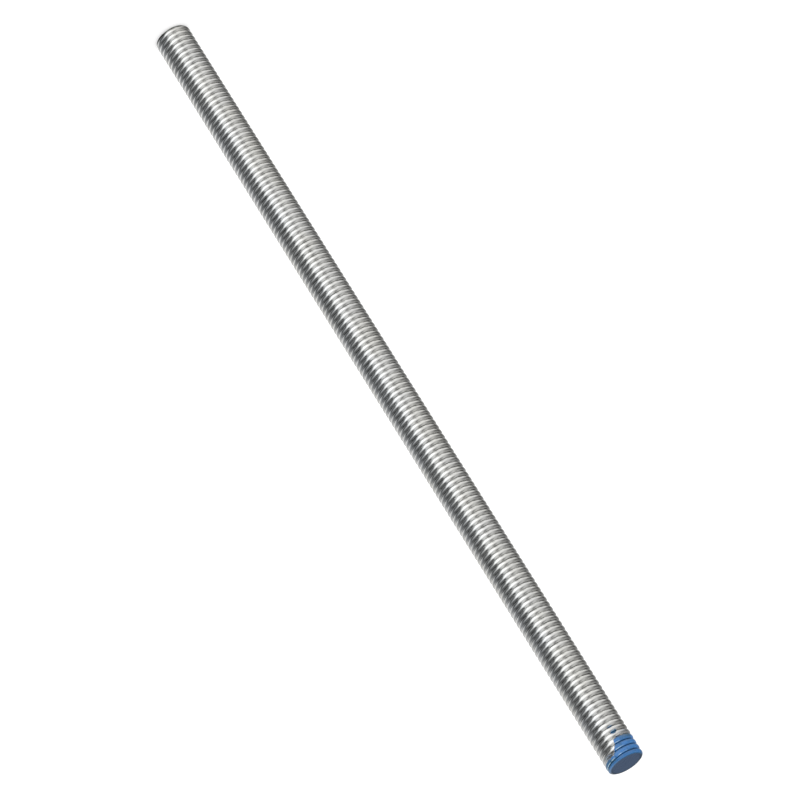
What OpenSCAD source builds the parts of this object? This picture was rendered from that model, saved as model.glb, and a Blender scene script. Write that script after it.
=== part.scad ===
// Fully threaded steel rod, standing on its plain end, painted end up.
// Millimetres. The axis is Z and the plain end face lies on Z = 0.

/* [Rod] */

// Length from one end face to the other (12 inches)
rod_length = 304.8; // [60:0.1:400]

// Diameter over the crests of the thread (just under 1/2 inch)
major_d = 12.5; // [9:0.1:18]

/* [Thread] */

// Turns of thread to the inch, one start, right-hand
turns_per_inch = 13; // [10:1:16]

// Depth of the groove, from crest to root
thread_depth = 1.2; // [0.7:0.05:1.5]

// Width of the flat land that runs along the crest
crest_land = 0.25; // [0.1:0.05:0.5]

/* [Ends] */

// Width of the 45 degree chamfer round each end face
end_chamfer = 0.42; // [0.1:0.01:1.5]

/* [Hidden] */

inch = 25.4;
pitch = inch / turns_per_inch;
crest_r = major_d / 2;
root_r = crest_r - thread_depth;

// The threaded bar is made longer than the rod, and the ends are cut through its thread.
spare = 1.1 * pitch;
turns = ceil((rod_length + spare) / pitch + 0.2);

// One turn's section, as [radius, height]: the crest land's two edges and the root.
section = [
    [crest_r, 0],
    [crest_r, crest_land],
    [root_r, (crest_land + pitch) / 2]
];
corners = len(section);

// Steps in one turn, as many as a fixed number of triangles allows for the rod's length.
triangle_limit = 12000;
steps = max(8, 4 * floor(triangle_limit / (8 * corners * turns)));
last_step = turns * steps;

// Point number of a corner of the section at a step. The corner after the last is the
// first corner of the next turn, so the turns share their edges and close the surface.
function point_at(step, corner) =
    corner == corners ? corners * (step + steps) : corners * step + corner;

// The helix: the section carried round and up in equal steps, anticlockwise as it rises.
helix_points = [
    for (step = [0 : last_step + steps])
        for (corner = section)
            let (angle = 360 * (step % steps) / steps)
            [
                corner[0] * cos(angle),
                corner[0] * sin(angle),
                corner[1] + pitch * step / steps - spare
            ]
];

// Two more points, on the axis, from which the cut ends of the helix are closed.
low_point = len(helix_points);
high_point = low_point + 1;
axis_points = [
    [0, 0, -spare],
    [0, 0, (turns + 1) * pitch - spare]
];

thread_faces = [
    for (step = [0 : last_step - 1])
        for (corner = [0 : corners - 1])
            each [
                [point_at(step, corner), point_at(step, corner + 1), point_at(step + 1, corner + 1)],
                [point_at(step, corner), point_at(step + 1, corner + 1), point_at(step + 1, corner)]
            ]
];
low_faces = concat(
    [for (step = [0 : steps - 1]) [low_point, point_at(step, 0), point_at(step + 1, 0)]],
    [for (corner = [0 : corners - 1]) [low_point, point_at(0, corner + 1), point_at(0, corner)]]
);
high_faces = concat(
    [for (step = [last_step : last_step + steps - 1])
        [high_point, point_at(step + 1, 0), point_at(step, 0)]],
    [for (corner = [0 : corners - 1])
        [high_point, point_at(last_step, corner), point_at(last_step, corner + 1)]]
);

// Round blank that faces and chamfers both ends. Between the chamfers it stays clear of the crests.
blank_clearance = 1;
end_face_r = crest_r - end_chamfer;
blank_r = crest_r + blank_clearance;
blank_cone = end_chamfer + blank_clearance;

module threaded_bar() {
    polyhedron(
        points = concat(helix_points, axis_points),
        faces = concat(thread_faces, low_faces, high_faces),
        convexity = 10
    );
}

module chamfered_blank() {
    rotate_extrude()
        polygon([
            [0, 0],
            [end_face_r, 0],
            [blank_r, blank_cone],
            [blank_r, rod_length - blank_cone],
            [end_face_r, rod_length],
            [0, rod_length]
        ]);
}

// The rod, rolled and cut off as one piece of zinc-plated steel.
module rod() {
    color("silver")
        intersection() {
            threaded_bar();
            chamfered_blank();
        }
}

rod();
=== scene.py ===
import math

import bmesh
import bpy
import numpy as np
from mathutils import Matrix, Vector


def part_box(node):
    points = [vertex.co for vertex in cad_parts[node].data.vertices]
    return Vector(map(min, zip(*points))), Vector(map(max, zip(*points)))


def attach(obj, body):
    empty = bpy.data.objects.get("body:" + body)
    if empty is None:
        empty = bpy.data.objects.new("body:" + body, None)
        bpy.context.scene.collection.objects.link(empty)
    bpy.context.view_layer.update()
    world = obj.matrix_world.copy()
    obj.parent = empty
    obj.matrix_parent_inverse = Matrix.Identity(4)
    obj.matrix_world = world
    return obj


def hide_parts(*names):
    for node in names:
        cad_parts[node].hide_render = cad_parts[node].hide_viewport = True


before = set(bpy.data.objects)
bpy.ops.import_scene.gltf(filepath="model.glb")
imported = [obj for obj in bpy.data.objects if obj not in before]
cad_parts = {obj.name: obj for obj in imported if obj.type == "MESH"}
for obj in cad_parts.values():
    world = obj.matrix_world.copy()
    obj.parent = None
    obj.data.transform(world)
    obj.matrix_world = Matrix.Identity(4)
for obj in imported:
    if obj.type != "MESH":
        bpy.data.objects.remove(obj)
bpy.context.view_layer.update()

mm = 0.001
inch = 0.0254

# sizes of the bare rod, from its part in model.glb
rodLow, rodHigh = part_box("rod")
rodLength = rodHigh[2] - rodLow[2]
crestRadius = (rodHigh[0] - rodLow[0]) / 2
rodMiddle = Vector((0, 0, rodLow[2] + rodLength / 2))


# camera: looks down on the painted end and is rolled, so that the rod lies across the picture
view = {
    "heading": 323,          # degrees from +X, where the camera stands round the rod
    "lookDown": 25.0,        # degrees above the horizon
    "distance": 6.0,         # in rod lengths
    "aimHeight": 0.1577,     # metres up the rod's axis
    "aimPixel": (399.0, 399.75),   # where that point lies in the picture
    "pictureSize": 800,
    "axisLean": 32.0,        # degrees between the rod's axis and the picture's upright
    "lens": 255.8,           # millimetres, as the sensor
    "sensor": 36,
    "clipping": (0.1, 50),   # metres
}

heading = math.radians(view["heading"])
towardCamera = Vector((math.cos(heading), math.sin(heading), 0))
levelRight = Vector((-math.sin(heading), math.cos(heading), 0))
up = Vector((0, 0, 1))


def axesMatrix(xAxis, yAxis, zAxis, place):
    turned = Matrix((xAxis, yAxis, zAxis)).transposed().to_4x4()
    return Matrix.Translation(place) @ turned


def addObject(name, data):
    thing = bpy.data.objects.new(name, data)
    bpy.context.scene.collection.objects.link(thing)
    return thing


def makeCamera():
    data = bpy.data.cameras.new("camera")
    data.lens = view["lens"]
    data.sensor_width = view["sensor"]
    data.clip_start, data.clip_end = view["clipping"]
    camera = addObject("camera", data)

    tilt = math.radians(view["lookDown"])
    back = math.cos(tilt) * towardCamera + math.sin(tilt) * up
    pictureUp = back.cross(levelRight)
    turn = math.radians(180 - view["axisLean"])
    xAxis = math.cos(turn) * levelRight + math.sin(turn) * pictureUp
    yAxis = back.cross(xAxis)
    aim = Vector((0, 0, view["aimHeight"]))
    place = aim + back * view["distance"] * rodLength
    camera.matrix_world = axesMatrix(xAxis, yAxis, back, place)

    half = view["pictureSize"] / 2
    data.shift_x = (half - view["aimPixel"][0]) / view["pictureSize"]
    data.shift_y = (view["aimPixel"][1] - half) / view["pictureSize"]
    bpy.context.scene.camera = camera


makeCamera()
print("camera ready")


# thread: a right-hand helix with a broad rounded crest, as rolling leaves it
thread = {
    "turnsPerInch": 13,
    "startHeight": -0.07 * mm,   # where the middle of the crest stands at angle 0
    "crestLand": 0.16 * mm,
    "overEdge": (0.70 * mm, 0.37 * mm),    # rounding above the land: how wide, how far it drops
    "underEdge": (0.56 * mm, 0.10 * mm),   # and below it
    "edgeArcs": 4,               # facets on each rounding
    "depth": 0.72 * mm,          # of the root, which lies between the roundings
    "rootPlace": 0.35,           # share of the way from one to the next
    "rootWidth": 0.03 * mm,
    "stepsPerTurn": 50,
    "spareTurns": 2,             # made past each end, then cut off
    "plainRounding": 1.3 * mm,   # of the rims, as radii
    "paintedRounding": 0.9 * mm,
    "roundingLoops": 8,
}
pitch = inch / thread["turnsPerInch"]
rootRadius = crestRadius - thread["depth"]

sameHeight = 1e-6            # metres
weldDistance = 1e-8
endReach = 4 * pitch         # how much of the mesh an end's cut has to look at
loopReach = 1.5 * pitch      # and a rim's


# one edge of the crest, as (drop, distance from the middle of the land)
def crestEdge(name):
    width, drop = thread[name]
    steps = [k / thread["edgeArcs"] for k in range(thread["edgeArcs"] + 1)]
    return [(drop * step * step, thread["crestLand"] / 2 + width * step) for step in steps]


# one turn's section from crest to crest, as (radius, height) above the middle of the land,
# and the corners at which it stays sharp
def threadSection():
    over = [(crestRadius - drop, height) for drop, height in crestEdge("overEdge")]
    under = [(crestRadius - drop, pitch - height) for drop, height in crestEdge("underEdge")]
    under.reverse()
    rootHeight = over[-1][1] + (under[0][1] - over[-1][1]) * thread["rootPlace"]
    half = thread["rootWidth"] / 2
    root = [(rootRadius, rootHeight - half), (rootRadius, rootHeight + half)]
    lastOver = len(over) - 1
    sharp = range(lastOver, lastOver + len(root) + 2)
    return over + root + under, sharp


def threadMesh():
    section, sharp = threadSection()
    section = np.array(section)
    corners = len(section)
    steps = thread["stepsPerTurn"]
    turns = math.ceil(rodLength / pitch) + 2 * thread["spareTurns"]
    firstHeight = rodLow[2] + thread["startHeight"] - thread["spareTurns"] * pitch

    step = np.arange(turns * steps + 1)
    angle = 2 * np.pi * (step % steps) / steps
    radius = np.broadcast_to(section[:, 0], (len(step), corners))
    height = firstHeight + pitch * step[:, None] / steps + section[:, 1]
    points = np.stack([
        radius * np.cos(angle)[:, None],
        radius * np.sin(angle)[:, None],
        height,
    ], axis=2).reshape(-1, 3)

    # the last corner of a turn joins the first corner of the next
    rows = np.arange((turns - 1) * steps)
    low = (rows[:, None] * corners + np.arange(corners)).ravel()
    high = low + 1
    lastCorner = np.tile(np.arange(corners) == corners - 1, len(rows))
    high[lastCorner] = low[lastCorner] + 1 - corners + steps * corners
    faces = np.stack([low, low + corners, high + corners, high], axis=1)
    mesh = bpy.data.meshes.new("threadedRod")
    mesh.from_pydata(points.tolist(), [], faces.tolist())
    for edge in mesh.edges:
        first, second = [index % corners for index in edge.vertices]
        edge.use_edge_sharp = first == second and first in sharp
    return mesh


# all of the mesh within reach of a height, in the same order at each run
def partNear(bm, height, reach):
    faces = [f for f in bm.faces if abs(f.calc_center_median().z - height) < reach]
    edges = dict.fromkeys(e for f in faces for e in f.edges)
    points = dict.fromkeys(v for f in faces for v in f.verts)
    return faces + list(edges) + list(points)


# cuts the mesh at a height, and may clear what lies past it
def cutLevel(bm, height, reach, outward=1, clear=False):
    bmesh.ops.bisect_plane(
        bm, geom=partNear(bm, height, reach), dist=weldDistance, clear_outer=clear,
        plane_co=(0, 0, height), plane_no=(0, 0, outward))


# cuts one end square, rounds its rim and closes it with a flat face
def finishEnd(bm, endHeight, outward, rounding, materialIndex):
    cutLevel(bm, endHeight, endReach, outward, clear=True)
    for loop in range(1, thread["roundingLoops"] + 1):
        drop = rounding * (1 - math.cos(math.pi / 2 * loop / thread["roundingLoops"]))
        cutLevel(bm, endHeight - outward * drop, loopReach)
    for point in bm.verts:
        inside = outward * (endHeight - point.co.z)
        if inside > rounding:
            continue
        limit = crestRadius - rounding + math.sqrt(max(0, inside * (2 * rounding - inside)))
        radius = math.hypot(point.co.x, point.co.y)
        if radius > limit:
            point.co.x *= limit / radius
            point.co.y *= limit / radius
    rim = [
        e for e in bm.edges
        if e.is_boundary and all(abs(v.co.z - endHeight) < sameHeight for v in e.verts)
    ]
    for edge in rim:
        edge.smooth = False
    filled = bmesh.ops.holes_fill(bm, edges=rim, sides=0)["faces"]
    for face in filled:
        face.normal_update()
        if face.normal.z * outward < 0:
            face.normal_flip()
        face.material_index = materialIndex
        face.smooth = False
    bmesh.ops.triangulate(bm, faces=filled)


def makeRod():
    mesh = threadMesh()
    bm = bmesh.new()
    bm.from_mesh(mesh)
    for face in bm.faces:
        face.smooth = True
    finishEnd(bm, rodLow[2], -1, thread["plainRounding"], 1)
    finishEnd(bm, rodHigh[2], 1, thread["paintedRounding"], 2)
    lowest, highest = rodLow[2] - sameHeight, rodHigh[2] + sameHeight
    loose = [v for v in bm.verts if not lowest < v.co.z < highest]
    bmesh.ops.delete(bm, geom=loose, context="VERTS")
    openEdges = sum(1 for e in bm.edges if not e.is_manifold)
    bm.to_mesh(mesh)
    bm.free()
    print("rod made:", len(mesh.polygons), "faces,", openEdges, "open edges")
    return addObject("threadedRod", mesh)


# small helpers for node trees
def addNode(tree, kind, inputs=None, **settings):
    node = tree.nodes.new(kind)
    for name, value in settings.items():
        setattr(node, name, value)
    for socket, value in (inputs or {}).items():
        if isinstance(value, bpy.types.NodeSocket):
            tree.links.new(value, node.inputs[socket])
        else:
            node.inputs[socket].default_value = value
    return node


def linkInputs(tree, shader, values):
    for socket, value in values.items():
        tree.links.new(value, shader.inputs[socket])


def opaque(colour):
    return (*colour, 1)


def addMath(tree, operation, a, b=0.0, c=0.0):
    return addNode(tree, "ShaderNodeMath", {0: a, 1: b, 2: c}, operation=operation).outputs[0]


def addProduct(tree, first, *others):
    for other in others:
        first = addMath(tree, "MULTIPLY", first, other)
    return first


def addScaled(tree, vector, factors):
    node = addNode(tree, "ShaderNodeVectorMath", {0: vector, 1: factors}, operation="MULTIPLY")
    return node.outputs[0]


def splitVector(tree, vector):
    return addNode(tree, "ShaderNodeSeparateXYZ", {0: vector}).outputs


def objectPosition(tree):
    return addNode(tree, "ShaderNodeTexCoord").outputs["Object"]


def addMapRange(tree, value, fromLow, fromHigh, toLow, toHigh, kind="LINEAR"):
    node = addNode(
        tree, "ShaderNodeMapRange", {0: value, 1: fromLow, 2: fromHigh, 3: toLow, 4: toHigh},
        interpolation_type=kind)
    return node.outputs[0]


def addMix(tree, share, a, b):
    a, b = [opaque(colour) if isinstance(colour, tuple) else colour for colour in (a, b)]
    return addNode(tree, "ShaderNodeMix", {0: share, 6: a, 7: b}, data_type="RGBA").outputs[2]


def addBlend(tree, share, a, b):
    return addNode(tree, "ShaderNodeMix", {0: share, 2: a, 3: b}, data_type="FLOAT").outputs[0]


# heights are in metres, so the distance is 1
def addBump(tree, height):
    return addNode(tree, "ShaderNodeBump", {"Height": height, "Distance": 1.0}).outputs[0]


def addRamp(tree, factor, stops):
    node = addNode(tree, "ShaderNodeValToRGB", {0: factor})
    ramp = node.color_ramp
    while len(ramp.elements) < len(stops):
        ramp.elements.new(0.5)
    for element, (place, colour) in zip(ramp.elements, stops):
        element.position = place
        element.color = opaque(colour)
    return node.outputs[0]


# a value that follows (place, value) stops, with straight lines between them
def addCurve(tree, factor, stops):
    top = max(value for place, value in stops)
    ramp = addRamp(tree, factor, [(place, (value / top,) * 3) for place, value in stops])
    return addMath(tree, "MULTIPLY", ramp, top)


# degrees round the rod, from -180 to 180, as a share of the way round
def shareRound(tree, degrees):
    return addMapRange(tree, degrees, -180, 180, 0, 1)


def roundStops(stops):
    return [((degrees + 180) / 360, value) for degrees, value in stops]


# a noise of {scale to the metre, detail, roughness, stretch}, where stretch draws it out
def addNoise(tree, vector, look):
    if "stretch" in look:
        vector = addScaled(tree, vector, look["stretch"])
    return addNode(tree, "ShaderNodeTexNoise", {
        "Vector": vector,
        "Scale": look["scale"],
        "Detail": look.get("detail", 2.0),
        "Roughness": look.get("roughness", 0.5),
    }).outputs[0]


# how much such a noise shows: nothing below its range, and its whole share above
def addShare(tree, noise, look, kind="LINEAR"):
    return addMapRange(tree, noise, *look["range"], 0, look["share"], kind)


def addPatches(tree, vector, look, kind="LINEAR"):
    return addShare(tree, addNoise(tree, vector, look), look, kind)


noiseSpan = (0.3, 0.7)       # nearly all of a noise lies between these


def newMaterial(name):
    material = bpy.data.materials.new(name)
    material.use_nodes = True
    tree = material.node_tree
    return material, tree, tree.nodes["Principled BSDF"]


# the cleared node tree of a world or material
def emptyTree(owner):
    owner.use_nodes = True
    owner.node_tree.nodes.clear()
    return owner.node_tree


# a node group with inputs {name: (kind, default)} and outputs {name: kind}
def newGroup(name, inputs, outputs):
    group = bpy.data.node_groups.new(name, "ShaderNodeTree")
    for socketName, (kind, default) in inputs.items():
        socket = group.interface.new_socket(
            socketName, in_out="INPUT", socket_type="NodeSocket" + kind)
        socket.default_value = default
    for socketName, kind in outputs.items():
        group.interface.new_socket(
            socketName, in_out="OUTPUT", socket_type="NodeSocket" + kind)
    return group


def groupInputs(group):
    return addNode(group, "NodeGroupInput").outputs


def endGroup(group, results):
    addNode(group, "NodeGroupOutput", results)


def useGroup(tree, group, inputs=None):
    return addNode(tree, "ShaderNodeGroup", inputs, node_tree=group).outputs


# where a point lies on the thread. Around is degrees from the side that the camera sees, and
# Turns counts down from the painted end along the thread, Below straight down. Groove goes
# from 0 on the crest to 1 at the root, and Along is (round, down the thread, out) in metres
def makePlaceGroup():
    group = newGroup("threadPlace", {}, {
        "Around": "Float", "Turns": "Float", "Below": "Float", "Groove": "Float",
        "Along": "Vector",
    })
    position = objectPosition(group)
    parts = splitVector(group, position)
    spun = addNode(
        group, "ShaderNodeVectorRotate", {"Vector": position, "Angle": -heading},
        rotation_type="Z_AXIS").outputs[0]
    flat = splitVector(group, spun)
    around = addMath(group, "DEGREES", addMath(group, "ARCTAN2", flat[1], flat[0]))
    depth = addMath(group, "SUBTRACT", rodHigh[2], parts[2])
    below = addMath(group, "DIVIDE", depth, pitch)
    turns = addMath(group, "MULTIPLY_ADD", around, 1 / 360, below)
    level = addNode(group, "ShaderNodeCombineXYZ", {0: parts[0], 1: parts[1]}).outputs[0]
    reach = addNode(
        group, "ShaderNodeVectorMath", {0: level}, operation="LENGTH").outputs["Value"]
    groove = addMapRange(group, reach, rootRadius, crestRadius, 1, 0)
    along = addNode(group, "ShaderNodeCombineXYZ", {
        0: addMath(group, "MULTIPLY", around, math.radians(1) * crestRadius),
        1: addMath(group, "MULTIPLY", turns, pitch),
        2: reach,
    }).outputs[0]
    endGroup(group, {
        "Around": around, "Turns": turns, "Below": below, "Groove": groove, "Along": along,
    })
    return group


# bright zinc. Noises come in over a range of their values, up to a share, and a ramp is
# (from, to, value before it, value after it)
zinc = {
    "colour": (0.74, 0.74, 0.74),
    "warmColour": (0.74, 0.735, 0.715),
    "grooveColour": (0.68, 0.68, 0.67),
    "dullColour": (0.52, 0.52, 0.51),
    # darker colour, in patches deep in the groove and near the plain end
    "darkColour": (0.22, 0.22, 0.21),
    "bloom": {"scale": 90, "detail": 3.0, "range": (0.38, 0.62), "share": 1},
    "dull": {
        "scale": 420, "detail": 3.0, "roughness": 0.7, "stretch": (0.15, 1, 0),
        "range": (0.45, 0.75), "share": 0.45,
    },
    "darkPatches": {
        "scale": 600, "detail": 3.0, "roughness": 0.7, "stretch": (0.35, 1, 0),
        "range": (0.45, 0.62), "share": 0.75,
    },
    "grooveTone": (0.45, 1.0, 0, 1),   # ramps by the depth in the groove
    "darkPatchDepth": (0.55, 0.8, 0, 1),
    "tip": (1.02 * mm, 1.7 * mm, 0.7, 0),   # darker, a ramp by the height over the plain end
    "grain": {"scale": 1500, "detail": 3.0},
    "roughness": (0.08, 0.19),   # least and most
    "wornRoughness": 0.2,        # more of it where the plate is gone
    "rolling": {"scale": 6000, "stretch": (0.06, 1, 1)},
    "rollingDepth": 0.0022 * mm,
    "dents": {"scale": 700},
    "dentDepth": 0.018 * mm,
}


# a faint warm bloom, dull patches, darker patches deep in the groove, and marks that run along
# the thread
def makeZincGroup(placeGroup):
    group = newGroup("zincPlate", {"Worn": ("Float", 0.0)}, {
        "Colour": "Color", "Roughness": "Float", "Height": "Float",
    })
    place = useGroup(group, placeGroup)
    position = objectPosition(group)
    bloom = addPatches(group, position, zinc["bloom"], "SMOOTHSTEP")
    colour = addMix(group, bloom, zinc["colour"], zinc["warmColour"])
    inGroove = addMapRange(group, place["Groove"], *zinc["grooveTone"], "SMOOTHSTEP")
    colour = addMix(group, inGroove, colour, zinc["grooveColour"])
    dull = addPatches(group, place["Along"], zinc["dull"])
    colour = addMix(group, dull, colour, zinc["dullColour"])
    # darker in patches toward the root of the groove
    darkPatches = addProduct(
        group, addPatches(group, place["Along"], zinc["darkPatches"]),
        addMapRange(group, place["Groove"], *zinc["darkPatchDepth"]))
    colour = addMix(group, darkPatches, colour, zinc["darkColour"])
    # darker near the plain end
    above = addMath(group, "SUBTRACT", splitVector(group, position)[2], rodLow[2])
    tip = addMapRange(group, above, *zinc["tip"])
    colour = addMix(group, tip, colour, zinc["darkColour"])

    grain = addNoise(group, position, zinc["grain"])
    plated = addMapRange(group, grain, *noiseSpan, *zinc["roughness"])
    worn = addMath(group, "MULTIPLY", groupInputs(group)["Worn"], zinc["wornRoughness"])
    roughness = addMath(group, "ADD", plated, worn)

    rolling = addNoise(group, place["Along"], zinc["rolling"])
    dents = addNoise(group, place["Along"], zinc["dents"])
    dents = addMath(group, "MULTIPLY", dents, zinc["dentDepth"])
    height = addMath(group, "MULTIPLY_ADD", rolling, zinc["rollingDepth"], dents)
    endGroup(group, {"Colour": colour, "Roughness": roughness, "Height": height})
    return group


# blue paint, with noises and ramps as for the zinc
paint = {
    "colour": (0.043, 0.218, 0.57),
    "underShadeColour": (0.012, 0.090, 0.24),   # painted shade, where the coat faces down and on the top turn
    # painted shade in the grooves, and the colour of stray touches
    "grooveColour": (0.010, 0.085, 0.16),
    # thin paint's teal, darkened as painted shade on the sides
    "thinAndShadeColour": (0.060, 0.130, 0.18),
    # pale colour of the painted glint on rubbed crest edges
    "rubbedGlintColour": (0.52, 0.74, 0.88),
    # painted shade on the far side of the rim, on the thread and on the face
    "rimShadeColour": (0.020, 0.038, 0.062),
    # the face's paint, darker than the thread's as painted shade
    "faceShadedColour": (0.020, 0.054, 0.122),
    "faceWornColour": (0.040, 0.066, 0.118),
    "roughness": (0.22, 0.38),   # least and most
    "gloss": 0.6,                # weight of the clear top coat
    "glossRoughness": 0.08,
    "thickness": 0.05 * mm,
    "brushDepth": 0.02 * mm,
    # (degrees round, turns that the coat reaches down along the thread)
    "reach": [
        (-180, 3.67), (-9, 3.67), (-4, 3.40), (-2, 2.60), (4, 2.20), (12, 1.60), (18, 1.20),
        (120, 1.20), (150, 2.60), (180, 3.67),
    ],
    "wander": {"scale": 650, "detail": 3.0},   # of the coat's edge, either way
    "edgeWander": 0.5,           # turns
    "edgeFade": (-0.05, 0.07, 1, 0),   # ramp by turns past the edge
    # stray touches, the last of them painted shade: (degrees round, turns down, half width in
    # degrees and in turns, strength)
    "straysAndShade": [
        (-18, 4.60, 13, 0.36, 1.0), (-16, 5.66, 11, 0.24, 0.8), (-60, 4.10, 34, 0.50, 0.15),
        (38, 1.70, 16, 0.25, 0.5), (62, 0.85, 32, 0.60, 0.9),
    ],
    "strayWander": 0.6,          # in half widths
    "strayFade": (0.75, 1.1),
    "strayAndShadeDeep": 0.6,            # how far a touch takes the groove's colour
    # brushed unevenly, and darker toward the root as painted shade, from where the ramp says
    # (by degrees round)
    "uneven": {"scale": 500, "detail": 3.0, "range": (0.48, 0.70), "share": 0.55},
    "deepFrom": (-16, -34, 0.60, 0.50),
    "deepTo": 0.95,
    # thin near the edge, and painted shade on the sides: (degrees round, how thin), then a ramp
    # by turns past the edge
    "thinAndShadePlaces": [(-180, 0.5), (-40, 1.0), (-14, 0.1), (14, 0.1), (24, 1.0), (180, 0.5)],
    "thinNear": (-1.1, -0.2, 0, 1),
    "thinAndShade": {
        "scale": 380, "detail": 3.0, "roughness": 0.6, "range": (0.42, 0.55), "share": 1,
    },
    # rubbed crest edges, with a painted glint along the crest's upper edge, which lies at this
    # share of a turn
    "rubbedGlintLine": 0.81,
    "rubbedGlintFade": (0.03, 0.07, 1, 0),
    "rubbedGlintSide": (-28, -10, 0, 1),    # by degrees round: the painted glint only on the side where the room is bright
    "rubbedGlint": {"scale": 1100, "stretch": (0.6, 1, 0), "range": (0.40, 0.50), "share": 0.9},
    # painted shade under the crest, by share of a turn, by degrees round, and under the face's
    # rim by turns below it
    "underBegins": (0.22, 0.50, 0, 0.8),
    "underEnds": (0.66, 0.70, 1, 0),
    "underSide": (-6, -30, 0.3, 1),
    "underRim": (0.25, 0.55, 0.5, 0),
    # painted shade on the rim's far side, by turns below the face and by degrees round, either
    # way
    "rim": (0.09, 0.045, 0, 1),
    "rimSide": (70, 100, 0, 1),
    # face: painted shade inside the rim on the far side, worn in broad patches, hardly shiny
    "faceRimWidth": 0.8 * mm,
    "faceRimSide": (55, 90, 0, 1),
    "faceWear": {"scale": 170, "range": (0.45, 0.62), "share": 1},
    "faceShine": 0.08,
}


# a brushed coat: darker in the grooves and lighter on the crests as painted shade, faintly
# uneven in tone
def makePaintGroup(placeGroup):
    blue = (0, 0, 1, 1)
    group = newGroup("paintCoat", {"Colour": ("Color", blue), "Deep": ("Color", blue)}, {
        "Colour": "Color", "Roughness": "Float", "Height": "Float",
    })
    given = groupInputs(group)
    place = useGroup(group, placeGroup)
    uneven = addNoise(group, objectPosition(group), paint["uneven"])
    # painted shade toward the root, from a depth that changes by degrees round; uneven brushing
    # adds its own darker tone
    deepFrom = addMapRange(group, place["Around"], *paint["deepFrom"])
    deep = addMapRange(group, place["Groove"], deepFrom, paint["deepTo"], 0, 1, "SMOOTHSTEP")
    deep = addMath(group, "MAXIMUM", deep, addShare(group, uneven, paint["uneven"]))
    endGroup(group, {
        "Colour": addMix(group, deep, given["Colour"], given["Deep"]),
        "Roughness": addMapRange(group, uneven, *noiseSpan, *paint["roughness"]),
        "Height": addMath(group, "MULTIPLY", uneven, paint["brushDepth"]),
    })
    return group


# where the dip left paint on the thread, and where it left it thin, with painted shade on the
# sides
def dippedCoat(tree, place, wander):
    roundShare = shareRound(tree, place["Around"])
    reach = addCurve(tree, roundShare, roundStops(paint["reach"]))
    limit = addMath(tree, "MULTIPLY_ADD", wander, paint["edgeWander"], reach)
    past = addMath(tree, "SUBTRACT", place["Turns"], limit)
    cover = addMapRange(tree, past, *paint["edgeFade"], "SMOOTHSTEP")
    # thin paint near the coat's edge, darker as painted shade away from the side facing the
    # camera
    thinAndShade = addProduct(
        tree, addCurve(tree, roundShare, roundStops(paint["thinAndShadePlaces"])),
        addMapRange(tree, past, *paint["thinNear"]),
        addPatches(tree, objectPosition(tree), paint["thinAndShade"], "SMOOTHSTEP"))
    return cover, thinAndShade


# how far a value lies from a middle, in half widths
def halvesAway(tree, value, middle, half):
    return addMath(tree, "DIVIDE", addMath(tree, "SUBTRACT", value, middle), half)


# stray paint, and one spot of painted shade, as darker touches
def strayTouchesAndShade(tree, place, wander):
    strayAndShade = 0.0
    for degrees, turns, halfDegrees, halfTurns, strength in paint["straysAndShade"]:
        across = halvesAway(tree, place["Around"], degrees, halfDegrees)
        down = halvesAway(tree, place["Turns"], turns, halfTurns)
        square = addMath(tree, "MULTIPLY_ADD", across, across, addProduct(tree, down, down))
        away = addMath(tree, "SQRT", square)
        away = addMath(tree, "MULTIPLY_ADD", wander, paint["strayWander"], away)
        touch = addMapRange(tree, away, *paint["strayFade"], strength, 0, "SMOOTHSTEP")
        strayAndShade = addMath(tree, "MAXIMUM", strayAndShade, touch)
    return strayAndShade


# how the coat's tone goes across a turn: a painted glint along the rubbed edge, painted shade
# where it faces down
def turnTones(tree, place):
    turnShare = addMath(tree, "FRACT", place["Turns"])
    offLine = addMath(tree, "SUBTRACT", turnShare, paint["rubbedGlintLine"])
    # painted glint: pale along the rubbed crest edge, on one side only
    rubbedGlint = addProduct(
        tree, addMapRange(tree, addMath(tree, "ABSOLUTE", offLine), *paint["rubbedGlintFade"]),
        addPatches(tree, place["Along"], paint["rubbedGlint"]),
        addMapRange(tree, place["Around"], *paint["rubbedGlintSide"]))
    # painted shade where the coat faces down, and on the top turn under the face's rim
    under = addProduct(
        tree, addMapRange(tree, turnShare, *paint["underBegins"]),
        addMapRange(tree, turnShare, *paint["underEnds"]),
        addMapRange(tree, place["Around"], *paint["underSide"]))
    underRim = addMapRange(tree, place["Below"], *paint["underRim"])
    return rubbedGlint, addMath(tree, "MAXIMUM", under, underRim)


# a ramp by degrees round, the same to the left and to the right
def farSide(tree, place, ramp):
    return addMapRange(tree, addMath(tree, "ABSOLUTE", place["Around"]), *ramp)


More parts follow.
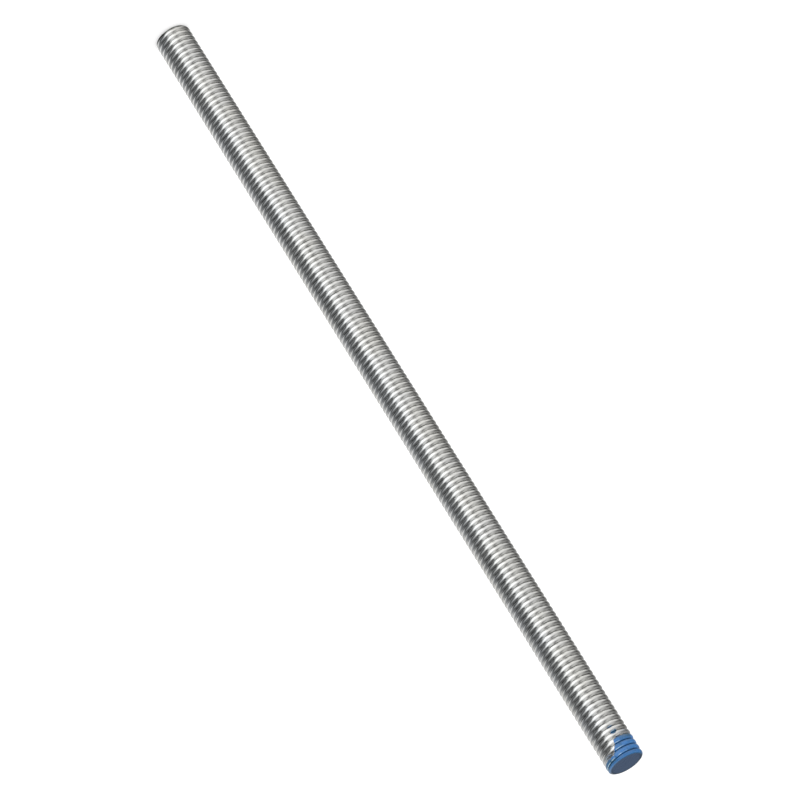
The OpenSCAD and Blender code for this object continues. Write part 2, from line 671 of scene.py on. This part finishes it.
# the whole thread: zinc, and paint over it where the dip left some
def platedSteel(placeGroup, zincGroup, paintGroup):
    material, tree, shader = newMaterial("platedSteel")
    place = useGroup(tree, placeGroup)
    metal = useGroup(tree, zincGroup)
    coat = useGroup(tree, paintGroup, {
        "Colour": opaque(paint["colour"]), "Deep": opaque(paint["grooveColour"]),
    })
    wander = addNoise(tree, objectPosition(tree), paint["wander"])
    wander = addMapRange(tree, wander, *noiseSpan, -0.5, 0.5)
    cover, thinAndShade = dippedCoat(tree, place, wander)
    strayAndShade = strayTouchesAndShade(tree, place, wander)
    rubbedGlint, under = turnTones(tree, place)
    # painted shade on the far side, just under the face's rim
    rim = addProduct(
        tree, addMapRange(tree, place["Below"], *paint["rim"]),
        farSide(tree, place, paint["rimSide"]))
    strayAndShadeDeep = addMath(tree, "MULTIPLY", strayAndShade, paint["strayAndShadeDeep"])
    colour = coat["Colour"]
    for share, tone in (
        (under, "underShadeColour"), (thinAndShade, "thinAndShadeColour"), (strayAndShadeDeep, "grooveColour"),
        (rubbedGlint, "rubbedGlintColour"), (rim, "rimShadeColour"),
    ):
        colour = addMix(tree, share, colour, paint[tone])

    cover = addMath(tree, "MAXIMUM", cover, strayAndShade)
    coatHeight = addMath(tree, "ADD", coat["Height"], paint["thickness"])
    height = addBlend(tree, cover, metal["Height"], coatHeight)
    linkInputs(tree, shader, {
        "Base Color": addMix(tree, cover, metal["Colour"], colour),
        "Metallic": addMath(tree, "SUBTRACT", 1, cover),
        "Roughness": addBlend(tree, cover, metal["Roughness"], coat["Roughness"]),
        "Coat Weight": addMath(tree, "MULTIPLY", cover, paint["gloss"]),
        "Normal": addBump(tree, height),
    })
    shader.inputs["Coat Roughness"].default_value = paint["glossRoughness"]
    return material


# the cut faces: strokes of the saw, and how they show on bare steel and under paint
saw = {
    "angle": 0.5,                # radians
    "strokes": {"scale": 2500, "detail": 3.0, "stretch": (1, 0.05, 0.05)},
    "depth": 0.006 * mm,
    "bareTone": (0.35, 0.65, 0.5, 0),
    "paintedTone": (0.5, 0.75, 0, 0.2),
}


def makeSawGroup():
    group = newGroup("sawMarks", {}, {"Tone": "Float", "Height": "Float"})
    turned = addNode(
        group, "ShaderNodeVectorRotate",
        {"Vector": objectPosition(group), "Angle": saw["angle"]},
        rotation_type="Z_AXIS").outputs[0]
    strokes = addNoise(group, turned, saw["strokes"])
    height = addMath(group, "MULTIPLY", strokes, saw["depth"])
    endGroup(group, {"Tone": strokes, "Height": height})
    return group


# bare cut face at the plain end
def sawnSteel(zincGroup, sawGroup):
    material, tree, shader = newMaterial("sawnSteel")
    marks = useGroup(tree, sawGroup)
    metal = useGroup(tree, zincGroup, {"Worn": 1.0})
    darker = addMapRange(tree, marks["Tone"], *saw["bareTone"])
    linkInputs(tree, shader, {
        "Base Color": addMix(tree, darker, metal["Colour"], zinc["grooveColour"]),
        "Roughness": metal["Roughness"],
        "Normal": addBump(tree, marks["Height"]),
    })
    shader.inputs["Metallic"].default_value = 1
    return material


# thin paint on the upper cut face, with the saw marks under it, its colour darker as painted
# shade
def paintedFace(placeGroup, paintGroup, sawGroup):
    material, tree, shader = newMaterial("paintedFace")
    place = useGroup(tree, placeGroup)
    marks = useGroup(tree, sawGroup)
    coat = useGroup(tree, paintGroup, {
        "Colour": opaque(paint["faceShadedColour"]), "Deep": opaque(paint["faceWornColour"]),
    })
    patches = addPatches(tree, objectPosition(tree), paint["faceWear"], "SMOOTHSTEP")
    strokes = addMapRange(tree, marks["Tone"], *saw["paintedTone"])
    worn = addMath(tree, "ADD", patches, strokes)
    colour = addMix(tree, worn, coat["Colour"], paint["faceWornColour"])
    faceRadius = crestRadius - thread["paintedRounding"]
    reach = splitVector(tree, place["Along"])[2]
    # painted shade inside the rim on the far side
    rim = addProduct(
        tree, addMapRange(tree, reach, faceRadius - paint["faceRimWidth"], faceRadius, 0, 1),
        farSide(tree, place, paint["faceRimSide"]))
    linkInputs(tree, shader, {
        "Base Color": addMix(tree, rim, colour, paint["rimShadeColour"]),
        "Roughness": coat["Roughness"],
        "Normal": addBump(tree, addMath(tree, "ADD", coat["Height"], marks["Height"])),
    })
    shader.inputs["Specular IOR Level"].default_value = paint["faceShine"]
    return material


placeGroup = makePlaceGroup()
zincGroup = makeZincGroup(placeGroup)
paintGroup = makePaintGroup(placeGroup)
sawGroup = makeSawGroup()
rod = makeRod()
# in the order that finishEnd counts them
rod.data.materials.append(platedSteel(placeGroup, zincGroup, paintGroup))
rod.data.materials.append(sawnSteel(zincGroup, sawGroup))
rod.data.materials.append(paintedFace(placeGroup, paintGroup, sawGroup))
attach(rod, "root")
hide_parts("rod")
print("materials ready")


# studio: white to the eye, while the metal mirrors a pale room with soft bright and dark walls
studio = {
    # the walls, by degrees round from the camera, to its right plus
    "walls": (-180, -150, -125, -90, -60, -30, -8, 15, 30, 45, 80, 105, 135, 160, 180),
    # how bright each is, in rings by their height (the sine of the rise from the rod)
    "rings": {
        -0.80: (
            0.94, 0.05, 0.05, 0.05, 1.21, 0.55, 1.13, 1.37,
            0.71, 0.11, 0.27, 0.32, 1.80, 1.77, 0.94,
        ),
        -0.50: (
            1.09, 0.50, 0.13, 1.09, 0.97, 1.14, 1.66, 1.81,
            1.32, 0.18, 0.05, 0.57, 0.83, 1.08, 1.09,
        ),
        -0.10: (
            0.43, 0.39, 0.05, 0.07, 0.60, 0.94, 1.02, 1.30,
            1.42, 0.72, 0.20, 0.35, 0.60, 0.72, 0.43,
        ),
        0.55: (
            0.23, 0.05, 0.40, 0.35, 0.70, 0.20, 0.83, 0.67,
            0.05, 0.15, 0.10, 0.27, 1.00, 0.77, 0.23,
        ),
    },
    # tint of the room, by the same degrees
    "tints": [
        (-180, (1.00, 1.00, 1.00)), (-120, (1.00, 1.00, 0.98)), (-38, (1.00, 1.00, 0.98)),
        (-12, (1.00, 1.00, 0.99)), (15, (0.97, 0.99, 1.00)), (65, (0.93, 0.97, 1.00)),
        (105, (0.94, 0.97, 1.00)), (130, (1.00, 1.00, 0.99)), (180, (1.00, 1.00, 1.00)),
    ],
    "fill": 1.00,            # the world as plain surfaces are lit by it
    "floorSize": 8.0,
    "floorColour": (0.58, 0.58, 0.58),
    "floorGlow": 0.52,       # lifts the floor to white, for the camera only
}

# direction is (toward the camera, to its right, up), seen from the rod's middle
lamps = {
    "key": {
        "direction": (-0.10, 0.06, 0.99), "distance": 1.6, "size": (0.36, 1.3),
        "radiance": 2.2,
    },
    "side": {
        "direction": (-0.26, -0.33, 0.90), "distance": 1.6, "size": (0.75, 1.2),
        "radiance": 0.75,
    },
}
white = (1, 1, 1, 1)


# the room as a strength and a tint, by the direction that a ray goes
def mirroredRoom(tree):
    direction = addNode(tree, "ShaderNodeTexCoord").outputs["Generated"]
    ahead, right, rise = [
        addNode(
            tree, "ShaderNodeVectorMath", {0: direction, 1: axis},
            operation="DOT_PRODUCT").outputs["Value"]
        for axis in (towardCamera, levelRight, up)
    ]
    turned = addMath(tree, "DEGREES", addMath(tree, "ARCTAN2", right, ahead))
    roundShare = shareRound(tree, turned)
    rings = [
        (height, addCurve(tree, roundShare, roundStops(zip(studio["walls"], brightness))))
        for height, brightness in studio["rings"].items()
    ]
    lastHeight, room = rings[0]
    for height, ring in rings[1:]:
        room = addBlend(tree, addMapRange(tree, rise, lastHeight, height, 0, 1), room, ring)
        lastHeight = height
    return room, addRamp(tree, roundShare, roundStops(studio["tints"]))


def makeWorld():
    world = bpy.data.worlds.new("studio")
    bpy.context.scene.world = world
    tree = emptyTree(world)
    room, tint = mirroredRoom(tree)
    mirrored = addNode(tree, "ShaderNodeBackground", {0: tint, 1: room}).outputs[0]
    lit = addNode(tree, "ShaderNodeBackground", {0: white, 1: studio["fill"]}).outputs[0]
    seen = addNode(tree, "ShaderNodeBackground", {0: white, 1: 1.0}).outputs[0]
    path = addNode(tree, "ShaderNodeLightPath").outputs
    direct = addMath(tree, "MAXIMUM", path["Is Camera Ray"], path["Is Transmission Ray"])
    mixed = lit
    for share, background in ((path["Is Glossy Ray"], mirrored), (direct, seen)):
        inputs = {0: share, 1: mixed, 2: background}
        mixed = addNode(tree, "ShaderNodeMixShader", inputs).outputs[0]
    addNode(tree, "ShaderNodeOutputWorld", {0: mixed})


def makeFloor():
    half = studio["floorSize"] / 2
    mesh = bpy.data.meshes.new("floor")
    corners = [(-half, -half), (half, -half), (half, half), (-half, half)]
    mesh.from_pydata([(x, y, rodLow[2]) for x, y in corners], [], [(0, 1, 2, 3)])
    floor = addObject("floor", mesh)
    floor.visible_glossy = False
    material = bpy.data.materials.new("paleFloor")
    tree = emptyTree(material)
    matte = addNode(tree, "ShaderNodeBsdfDiffuse", {0: opaque(studio["floorColour"])})
    cameraRay = addNode(tree, "ShaderNodeLightPath").outputs["Is Camera Ray"]
    strength = addMath(tree, "MULTIPLY", cameraRay, studio["floorGlow"])
    glow = addNode(tree, "ShaderNodeEmission", {0: white, 1: strength})
    both = addNode(tree, "ShaderNodeAddShader", {0: matte.outputs[0], 1: glow.outputs[0]})
    addNode(tree, "ShaderNodeOutputMaterial", {0: both.outputs[0]})
    mesh.materials.append(material)


def makeLamps():
    for name, lamp in lamps.items():
        data = bpy.data.lights.new(name, "AREA")
        data.shape = "RECTANGLE"
        data.size, data.size_y = lamp["size"]
        data.energy = lamp["radiance"] * math.pi * data.size * data.size_y
        light = addObject(name, data)
        ahead, right, rise = lamp["direction"]
        outward = (ahead * towardCamera + right * levelRight + rise * up).normalized()
        xAxis = (levelRight - levelRight.dot(outward) * outward).normalized()
        yAxis = outward.cross(xAxis)
        place = rodMiddle + outward * lamp["distance"]
        light.matrix_world = axesMatrix(xAxis, yAxis, outward, place)
        light.visible_camera = False
        light.visible_glossy = False


makeWorld()
makeFloor()
makeLamps()
bpy.context.scene.view_settings.view_transform = "Standard"
print("studio ready")
